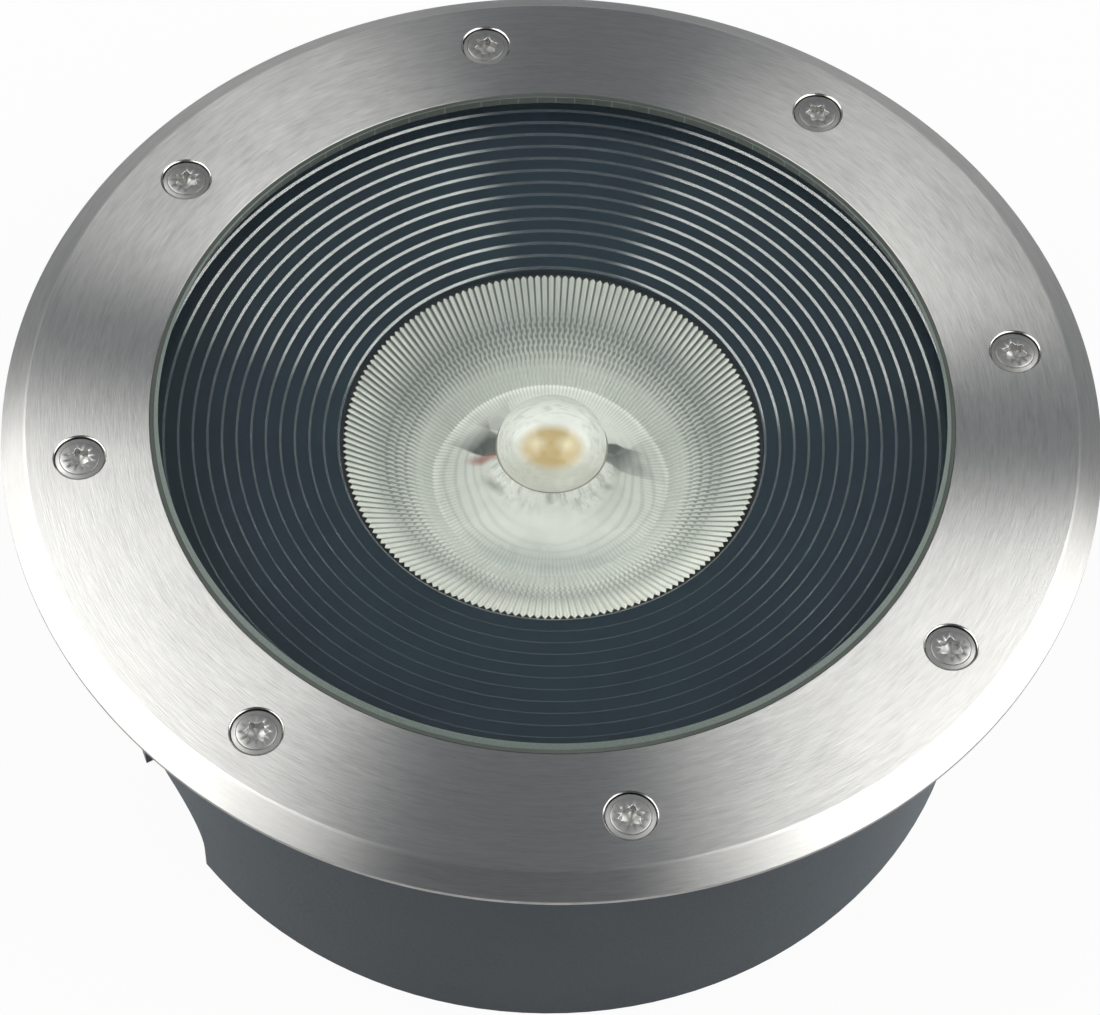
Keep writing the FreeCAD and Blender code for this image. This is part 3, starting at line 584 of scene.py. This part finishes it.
def cover_glass():
    """Step glass with a ground chamfer and a ground flange; its two faces are clear."""
    flange_top = GLASS_UNDER + GLASS_FLANGE_THICK
    outline = [(0.0, GLASS_UNDER), (GLASS_FLANGE_R, GLASS_UNDER), (GLASS_FLANGE_R, flange_top),
               (GLASS_R, flange_top), (GLASS_R, GLASS_TOP - GLASS_CHAMFER),
               (GLASS_R - GLASS_CHAMFER, GLASS_TOP), (0.0, GLASS_TOP)]
    obj = piece("step_glass", turned(soften(outline, GLASS_SOFT, 2), GLASS_SEGMENTS),
                [clear_glass(), ground_glass()], "cover", ["cover_glass"], 8)
    for face in obj.data.polygons:
        c = face.center / MM
        flat_below = abs(face.normal.z) > 0.9 and c.z < flange_top + 0.5 and from_axis(c) < GLASS_R
        if from_axis(c) > GLASS_R - GLASS_CHAMFER - 0.05 and not flat_below:
            face.material_index = 1


# ---- Baffle --------------------------------------------------------------------------------------
def baffle():
    """Stepped dish with crisp edges: matt treads and a satin bevel on each step."""
    first_r, first_z = STEP_FIRST
    last_r, last_z = STEP_LAST
    pitch = (first_r - last_r) / STEPS
    drop = (first_z - last_z) / STEPS
    outline = [(BAFFLE_R, BAFFLE_TOP), (BAFFLE_WALL_R, BAFFLE_TOP), (BAFFLE_WALL_R, first_z + drop)]
    for step in range(STEPS + 1):
        r = first_r - step * pitch
        z = first_z - step * drop
        outline += [(r + RISER_W, z + drop), (r, z)]
    outline += [(last_r - BAFFLE_LIP, last_z - BAFFLE_THICK), (first_r, first_z - BAFFLE_THICK),
                (BAFFLE_R, first_z - BAFFLE_THICK)]
    obj = piece("stepped_baffle", turned(soften(outline, BAFFLE_SOFT, 2), BAFFLE_SEGMENTS),
                [baffle_coat(), baffle_riser()], "lamp", ["baffle"], 60)
    for face in obj.data.polygons:
        c = face.center / MM
        stepped = last_r - 0.4 < from_axis(c) < BAFFLE_WALL_R - 0.4 and c.z > last_z - 0.7
        if stepped and 0.3 < face.normal.z < 0.98:
            face.material_index = 1


# ---- Lens ----------------------------------------------------------------------------------------
def wall_of_lens():
    """Fluted wall seen from inside, with its light and shade painted in: bright ridges, lighter nearer the
    viewer, painted glints at the sides, dark grooves and a band halfway down in painted shade, greyer at
    the foot, and a finer weave of painted flute reflections lower down.
    """
    s = Shade("lens_flutes")
    x, y, z = s.split(s.place)
    angle = s.math("ARCTAN2", y, x)
    depth = s.span(z, (LENS_RIM - 4.5) * MM, (LENS_FOOT + 4.5) * MM)
    # Painted glints: the sides left and right are lighter, with wider dark grooves.
    painted_glint = s.times(s.span(s.gap(x, 2 * MM), 14 * MM, 34 * MM), s.span(y, -20 * MM, 4 * MM))
    near = s.span(y, -45 * MM, -15 * MM, 0.45, 1.0)
    cloud = s.noise(s.place, 70.0, 2.0, 0.5)

    # Painted light: the wall is lighter nearer the viewer.
    s.tones(y, -40 * MM, 5 * MM, rgb(1.0, 1.0, 0.96), rgb(0.74, 0.76, 0.73))
    s.tint(s.times(painted_glint, s.span(depth, 0.0, 0.7, 0.9, 0.3)), rgb(0.98, 0.99, 0.96))
    s.tint(s.span(cloud, 0.35, 0.65, 0.0, 0.2), rgb(0.45, 0.48, 0.47))
    # Painted shade: a darker band halfway down the wall.
    s.tint(s.span(s.gap(depth, 0.45), 0.05, 0.42, 0.4, 0.0), rgb(0.30, 0.33, 0.33))

    # Painted shade in the grooves, stronger nearer the viewer and wider at the sides.
    ridge = s.math("COSINE", s.times(angle, FLUTES))
    narrowest = s.span(painted_glint, 0.0, 1.0, -0.95, -0.7)
    widest = s.span(painted_glint, 0.0, 1.0, -0.2, 0.75)
    groove = s.span(ridge, narrowest, widest, 1.0, 0.0)
    s.tint(s.times(groove, near, s.span(depth, 0.0, 1.0, 0.95, 0.5)), rgb(0.09, 0.11, 0.105))
    s.tint(s.span(depth, 0.90, 1.0, 0.0, 0.6), rgb(0.74, 0.76, 0.73))

    # Painted reflection: the opposite flutes' images, as a fine weave of dark dots lower down.
    weave = s.times(s.math("SINE", s.times(angle, FLUTES)),
                    s.math("SINE", s.times(z, 2 * math.pi / (2.6 * MM))))
    painted_reflection_dots = s.times(s.span(weave, 0.15, 0.6), near, s.span(s.gap(depth, 0.62), 0.15, 0.42, 0.85, 0.0))
    s.tint(painted_reflection_dots, rgb(0.20, 0.23, 0.22))
    return s.finish(s.principled(Base_Color=s.colour, Metallic=0.15,
                                 Roughness=s.span(cloud, 0.3, 0.7, 0.15, 0.24)))


class LensView(Shade):
    """What shows through the middle of the lens: white frame, dark gaps, red lead and the phosphor."""

    def __init__(self):
        super().__init__("lens_view")
        self.r, self.cos, self.sin, self.z = self.polar()
        self.x, self.y, _ = self.split(self.place)
        self.cloud = self.noise(self.place, 120.0, 3.0, 0.5)
        self.swirl = self.noise(self.place, 45.0, 2.0, 0.5)
        self.crown = self.span(self.z, (PILLAR_TOP - 2.8) * MM, (PILLAR_TOP - 1.0) * MM)

    def local(self, centre, degrees):
        """Distances along and across a direction, from a centre in mm."""
        c = math.cos(math.radians(degrees))
        si = math.sin(math.radians(degrees))
        ax = self.minus(self.x, centre[0] * MM)
        ay = self.minus(self.y, centre[1] * MM)
        return (self.plus(self.times(ax, c), self.times(ay, si)),
                self.minus(self.times(ay, c), self.times(ax, si)))

    def patch(self, centre, half, edge, degrees=0.0, ragged=0.0):
        """Oval with half lengths in mm: 1 inside, fading from the share edge of its size to its rim."""
        along, aside = self.local(centre, degrees)
        far = self.length(self.times(along, 1.0 / (half[0] * MM)), self.times(aside, 1.0 / (half[1] * MM)))
        if ragged:
            far = self.plus(far, self.span(self.swirl, 0.3, 0.7, -ragged, ragged))
        return self.span(far, edge, 1.0, 1.0, 0.0)

    def fan(self, tip, degrees, half, length, fade):
        """Wedge from its tip, half being half its angle; it fades out from the share fade of its length."""
        along, aside = self.local(tip, degrees)
        inside = self.minus(self.times(along, math.tan(math.radians(half))), self.math("ABSOLUTE", aside))
        return self.times(self.span(inside, -0.2 * MM, 0.5 * MM),
                          self.span(along, fade * length * MM, length * MM, 1.0, 0.0))

    def disc(self):
        """Pale floor with thin rings, grey nearest the viewer as painted shade and white farthest, with a
        crescent of painted light, and the flutes' ends as lines of painted shade.
        """
        self.tones(self.cloud, 0.3, 0.7, rgb(0.86, 0.87, 0.83), rgb(0.95, 0.96, 0.92))
        rings = self.math("SINE", self.plus(self.times(self.r, 2 * math.pi / (2.1 * MM)),
                                            self.times(self.swirl, 9.0)))
        outer = self.times(self.span(self.r, 15 * MM, 22 * MM),
                           self.span(self.r, 25.5 * MM, 28.5 * MM, 1.0, 0.25))
        self.tint(self.times(self.span(rings, 0.0, 1.0), outer, 0.30), rgb(0.36, 0.40, 0.39))
        # Painted shade: greyer nearest the viewer.
        self.tint(self.times(self.span(self.y, -16 * MM, -24 * MM), 0.70), rgb(0.52, 0.56, 0.56))
        # Painted light: a white crescent on the far side.
        painted_light_crescent = self.times(self.span(self.y, 6 * MM, 14 * MM), self.span(self.r, 15 * MM, 19 * MM))
        self.tint(self.times(painted_light_crescent, 0.8), rgb(1.0, 1.0, 0.97))
        # Painted shade: dark lines where the flutes' grooves end.
        ridge = self.math("COSINE", self.times(self.math("ARCTAN2", self.y, self.x), FLUTES))
        ends = self.times(self.span(ridge, 0.2, -0.8), self.span(self.r, 21 * MM, 28 * MM, 0.0, 0.30))
        self.tint(ends, rgb(0.20, 0.23, 0.22))

    def slope(self):
        """Light and dark streaks up the side of the middle pillar."""
        way = self.xyz(self.times(self.cos, 9.0), self.times(self.sin, 9.0), self.times(self.z, 200.0))
        streak = self.noise(way, 1.0, 4.0, 0.7)
        side = self.times(self.span(self.z, (LENS_FOOT + 2.5) * MM, (LENS_FOOT + 6.5) * MM),
                          self.span(self.z, (PILLAR_TOP - 3.1) * MM, (PILLAR_TOP - 1.6) * MM, 1.0, 0.0))
        self.tint(self.times(side, self.span(streak, 0.35, 0.6)), rgb(1.0, 1.0, 0.98))
        self.tint(self.times(side, self.span(streak, 0.50, 0.38, 0.0, 0.5)), rgb(0.42, 0.44, 0.42))

    def gaps(self):
        """Dark wedges left and right, the frame's glare, small shadows and the red lead."""
        for tip, degrees, half, length, fade, share in (
                ((-11.5, 1.8), 134, 24, 15.5, 0.60, 0.95), ((-11.0, 12.0), 128, 35, 11.0, 0.40, 0.40),
                ((10.8, 12.2), -42, 24, 14.0, 0.50, 0.95), ((12.0, 3.0), 10, 26, 16.0, 0.30, 0.50)):
            wedge = self.fan(tip, degrees, half, length, fade)
            self.tint(self.times(wedge, share), rgb(0.07, 0.085, 0.085))
        glare = self.patch((0.0, -15.5), (12.5, 5.0), 0.2, ragged=0.1)
        self.tint(self.times(glare, 0.9), rgb(1.0, 1.0, 0.97))
        for centre, half, degrees, share, colour in (
                ((23.0, 3.0), (3.2, 6.0), 35, 0.45, rgb(0.20, 0.22, 0.22)),
                ((-14.5, -6.0), (5.6, 1.7), -46, 0.60, rgb(0.16, 0.18, 0.18)),
                ((14.6, -5.0), (3.0, 1.6), 15, 0.50, rgb(0.20, 0.22, 0.22)),
                ((0.0, -12.0), (1.5, 1.2), 0, 0.50, rgb(0.24, 0.26, 0.25)),
                ((-17.5, 3.2), (4.6, 1.9), 5, 0.75, rgb(0.40, 0.12, 0.11))):
            self.tint(self.times(self.patch(centre, half, 0.2, degrees, 0.25), share), colour)

    def dome(self):
        """The pillar's crown as the dome shows it: pale, darker nearest the viewer as painted shade, with
        fine arcs round the yellow phosphor and two painted reflections of the lamps on it.
        """
        # Painted shade: the crown is darker on the side nearest the viewer.
        pale = self.blend(self.span(self.y, -4 * MM, 6 * MM), rgb(0.52, 0.52, 0.46), rgb(0.93, 0.94, 0.91))
        self.tint(self.times(self.crown, 0.85), pale)
        way = self.xyz(self.times(self.r, 1.0 / (0.35 * MM)), self.times(self.cos, 4.0),
                       self.times(self.sin, 4.0))
        arcs = self.span(self.noise(way, 1.0, 2.0, 0.6), 0.50, 0.62)
        self.tint(self.times(self.crown, arcs, self.span(self.r, 5.8 * MM, 7.2 * MM, 0.0, 0.35)),
                  rgb(0.42, 0.43, 0.40))
        self.tint(self.times(self.patch((0.0, 0.2), (6.3, 4.9), 0.65), self.crown), rgb(0.56, 0.42, 0.21))
        # Painted reflections: two bright spots stand for the lamps mirrored in the dome.
        for side in (-1, 1):
            lamp_reflection_spot = self.patch((side * 2.4, 1.0), (2.3, 2.0), 0.1)
            self.tint(self.times(lamp_reflection_spot, self.crown, 0.9), rgb(0.78, 0.70, 0.48))


def floor_of_lens():
    s = LensView()
    s.disc()
    s.slope()
    s.gaps()
    s.dome()
    return s.finish(s.principled(Base_Color=s.colour, Roughness=s.span(s.cloud, 0.3, 0.7, 0.22, 0.34),
                                 Specular_IOR_Level=0.5))


def fluted_lens():
    """Clear block with a serrated rim and a dome, its fluted wall and underside showing through the top as
    opaque surfaces with their light and shade painted in; the groove round the dome's foot is an opaque
    band of painted shade.
    """
    count = 2 * FLUTES

    def even(r, z):
        return [(r, z)] * count

    def toothed(r, tooth, z):
        return [(r - tooth * (k % 2), z) for k in range(count)]

    rows = [even(0.0, DOME_FOOT + DOME_H)]
    for k in range(1, DOME_ROWS + 1):
        a = math.pi / 2 * k / DOME_ROWS
        rows.append(even(DOME_R * math.sin(a), DOME_FOOT + DOME_H * math.cos(a)))
    seam = len(rows) - 1
    rows += [even(DOME_R + 0.15, DOME_FOOT - 0.1), even(DOME_R + SEAM_W, DOME_FOOT)]
    for k in range(1, DISH_ROWS + 1):
        t = k / DISH_ROWS
        rise = (LENS_RIM - DOME_FOOT) * (3 * t ** 2 - 2 * t ** 3)
        rows.append(even(DOME_R + SEAM_W + DISH_W * t, DOME_FOOT + rise))
    wall_top = LENS_RIM - LENS_EDGE
    rows += [even(RIM_IN_R, LENS_RIM), toothed(LENS_R - LENS_EDGE, TOOTH - 0.05, LENS_RIM),
             toothed(LENS_R, TOOTH, wall_top)]
    wall_first = len(rows) - 1
    for k in range(1, WALL_ROWS + 1):
        t = k / WALL_ROWS
        rows.append(toothed(LENS_R + (LENS_FOOT_R - LENS_R) * t, TOOTH + (FOOT_TOOTH - TOOTH) * t,
                            wall_top + (LENS_FOOT - wall_top) * t))
    floor_first = len(rows) - 1
    rows += [even(r, LENS_FOOT + above) for r, above in PILLAR]

    # Painted shade: the groove round the dome's foot gets an opaque dark material, not the clear plastic.
    seam_painted_shade = matt("lens_seam_painted_shade", (0.16, 0.155, 0.13), (0.24, 0.235, 0.20), (0.3, 0.4))
    obj = piece("lens_fluted", skin(rows), [clear_plastic(), wall_of_lens(), floor_of_lens(), seam_painted_shade],
                "lamp", ["lens"], 40)
    for number, face in enumerate(obj.data.polygons):
        row = number // count
        if row in (seam, seam + 1):
            face.material_index = 3
        elif row >= floor_first:
            face.material_index = 2
        elif row >= wall_first:
            face.material_index = 1


# ---- Carried-over solids -------------------------------------------------------------------------
def dress(material, *nodes):
    """Gives carried-over solids this material on all their slots."""
    for node in nodes:
        slots = NODES[node].material_slots
        if not slots:
            NODES[node].data.materials.append(material)
        for slot in slots:
            slot.material = material


def dress_outside():
    dress(matt("cast_coat", (0.060, 0.070, 0.078), (0.075, 0.086, 0.094), (0.45, 0.6), 900.0, 0.06),
          "housing", "bottom_cover")
    dress(matt("sleeve_moulded", (0.012, 0.023, 0.034), (0.017, 0.029, 0.041), (0.45, 0.55), 1500.0,
               gloss=0.35, bloom=0.24), "mounting_sleeve")
    dress(matt("silicone_grey_green", (0.055, 0.066, 0.060), (0.075, 0.088, 0.080), (0.55, 0.7), 1500.0,
               0.02), "glass_gasket")
    dress(matt("rubber_black", (0.022, 0.022, 0.022), (0.034, 0.034, 0.034), (0.7, 0.85)),
          "bottom_cover_gasket", "gland_rubber", "gland_seal", "lead_grommets")
    dress(matt("moulded_black", (0.020, 0.021, 0.022), (0.030, 0.031, 0.032)),
          "lens_holder", "breather_valve")
    dress(polished_steel("nickel_plate", 0.62, 0.22), "cable_gland", "gland_nut", "gland_locknut")
    dress(polished_steel("zinc_screws", 0.58, 0.25),
          "lens_holder_screws", "led_frame_screws", "driver_screws", "bottom_cover_screws")
    dress(polished_steel("washer_steel", 0.5, 0.3), "screw_washers")


def dress_inside():
    dress(matt("moulded_white", (0.78, 0.78, 0.76), (0.85, 0.85, 0.83), (0.4, 0.55)), "led_frame")
    dress(matt("board_white", (0.80, 0.80, 0.79), (0.86, 0.86, 0.85), (0.3, 0.4)), "led_board")
    dress(matt("phosphor", (0.85, 0.55, 0.06), (0.92, 0.64, 0.10), (0.25, 0.4)), "led_emitter")
    dress(matt("pad_blue", (0.30, 0.36, 0.42), (0.36, 0.42, 0.48)), "thermal_pad")
    dress(matt("wire_red", (0.50, 0.015, 0.015), (0.60, 0.03, 0.02), (0.35, 0.45)), "lead_red")
    dress(matt("wire_black", (0.010, 0.010, 0.010), (0.016, 0.016, 0.016), (0.35, 0.45)), "lead_black")
    dress(matt("driver_case", (0.50, 0.51, 0.52), (0.58, 0.59, 0.60), (0.35, 0.45), 1500.0,
               metallic=1.0), "driver")
    dress(matt("terminal_cream", (0.72, 0.72, 0.66), (0.80, 0.80, 0.74), (0.35, 0.45)), "terminal_block")
    dress(matt("brass", (0.62, 0.46, 0.20), (0.72, 0.56, 0.28), (0.25, 0.35), 900.0, 0.02,
               metallic=1.0), "earth_screw")


# ---- Camera, floor and light ---------------------------------------------------------------------
CAMERA_PLACE = (0.0, -0.5050, 0.8178)
CAMERA_RIGHT = (0.99924, 0.03234, 0.02177)
CAMERA_UP = (-0.03899, 0.83157, 0.55405)
CAMERA_BACK = (-0.00018, -0.55448, 0.83220)
CAMERA_LENS = 121.22
FLOOR_HALF = 4.0
FLOOR_BELOW = 0.3 * MM
LAMP_AIM = (0.0, 0.0, 0.1)
LAMP_COLOUR = (1.0, 0.985, 0.945)


def camera():
    data = bpy.data.cameras.new("camera")
    data.sensor_fit = "HORIZONTAL"
    data.sensor_width = 36.0
    data.lens = CAMERA_LENS
    data.clip_start = 0.01
    data.clip_end = 50
    obj = bpy.data.objects.new("camera", data)
    bpy.context.scene.collection.objects.link(obj)
    axes = Matrix((CAMERA_RIGHT, CAMERA_UP, CAMERA_BACK)).transposed().to_4x4()
    obj.matrix_world = Matrix.Translation(CAMERA_PLACE) @ axes
    bpy.context.scene.camera = obj


def floor():
    """Plain pale floor, which glows where it is seen or mirrored, so that it stays even and white."""
    s = Shade("floor_white")
    diffuse = s.add("ShaderNodeBsdfDiffuse")
    s.tones(s.noise(s.place, 3.0, 2.0, 0.5), 0.0, 1.0, grey(0.84), grey(0.86))
    s.join(s.colour, diffuse.inputs["Color"])
    path = s.add("ShaderNodeLightPath")
    glow = s.math("ADD", s.times(path.outputs["Is Camera Ray"], 0.93),
                  s.times(path.outputs["Is Glossy Ray"], 0.55), clamp=True)
    material = s.finish(s.mix(glow, diffuse.outputs[0], s.add("ShaderNodeEmission").outputs[0]))
    corners = [(x * FLOOR_HALF, y * FLOOR_HALF, 0) for x, y in ((-1, -1), (1, -1), (1, 1), (-1, 1))]
    obj = piece("floor", (corners, [[0, 1, 2, 3]]), [material])
    obj.location.z = -FLOOR_BELOW


def surroundings():
    """Dim room, darker towards the viewer, that is white where the camera sees it."""
    world = bpy.data.worlds.new("studio")
    bpy.context.scene.world = world
    world.use_nodes = True
    n = Nodes(world.node_tree)
    n.tree.nodes.clear()
    ahead = n.split(n.add("ShaderNodeTexCoord").outputs["Generated"])[1]
    room = n.add("ShaderNodeBackground")
    n.join(n.blend(n.span(ahead, -0.75, 0.35), rgb(0.080, 0.085, 0.095), rgb(0.165, 0.171, 0.180)),
           room.inputs["Color"])
    white = n.add("ShaderNodeBackground")
    n.feed(white.inputs["Color"], grey(1.0))
    path = n.add("ShaderNodeLightPath")
    n.join(n.mix(path.outputs["Is Camera Ray"], room.outputs[0], white.outputs[0]),
           n.add("ShaderNodeOutputWorld").inputs["Surface"])


def softbox(name, place, width, height, power):
    """Area lamp aimed at the object, faded at its edges so that its mirror image has no hard outline."""
    data = bpy.data.lights.new(name, "AREA")
    data.shape = "RECTANGLE"
    data.size = width
    data.size_y = height
    data.energy = power
    data.color = LAMP_COLOUR
    data.use_nodes = True
    n = Nodes(data.node_tree)
    sides = n.split(n.add("ShaderNodeNewGeometry").outputs["Parametric"])[:2]
    fades = [n.span(n.gap(side, 0.5), 0.30, 0.50, 1.0, 0.0, "SMOOTHSTEP") for side in sides]
    glow = next(node for node in n.tree.nodes if node.type == "EMISSION")
    n.join(n.times(*fades), glow.inputs["Strength"])
    obj = bpy.data.objects.new(name, data)
    obj.location = place
    obj.rotation_euler = (Vector(LAMP_AIM) - Vector(place)).to_track_quat("-Z", "Y").to_euler()
    bpy.context.scene.collection.objects.link(obj)


bpy.context.scene.view_settings.view_transform = "Standard"
camera()
floor()
surroundings()
softbox("left_box", (-0.60, -0.04, 0.60), 1.25, 0.95, 10.2)
softbox("right_box", (0.58, -0.12, 0.60), 1.18, 0.95, 10.0)
dress_outside()
dress_inside()
face_ring()
face_screws()
cover_glass()
baffle()
fluted_lens()
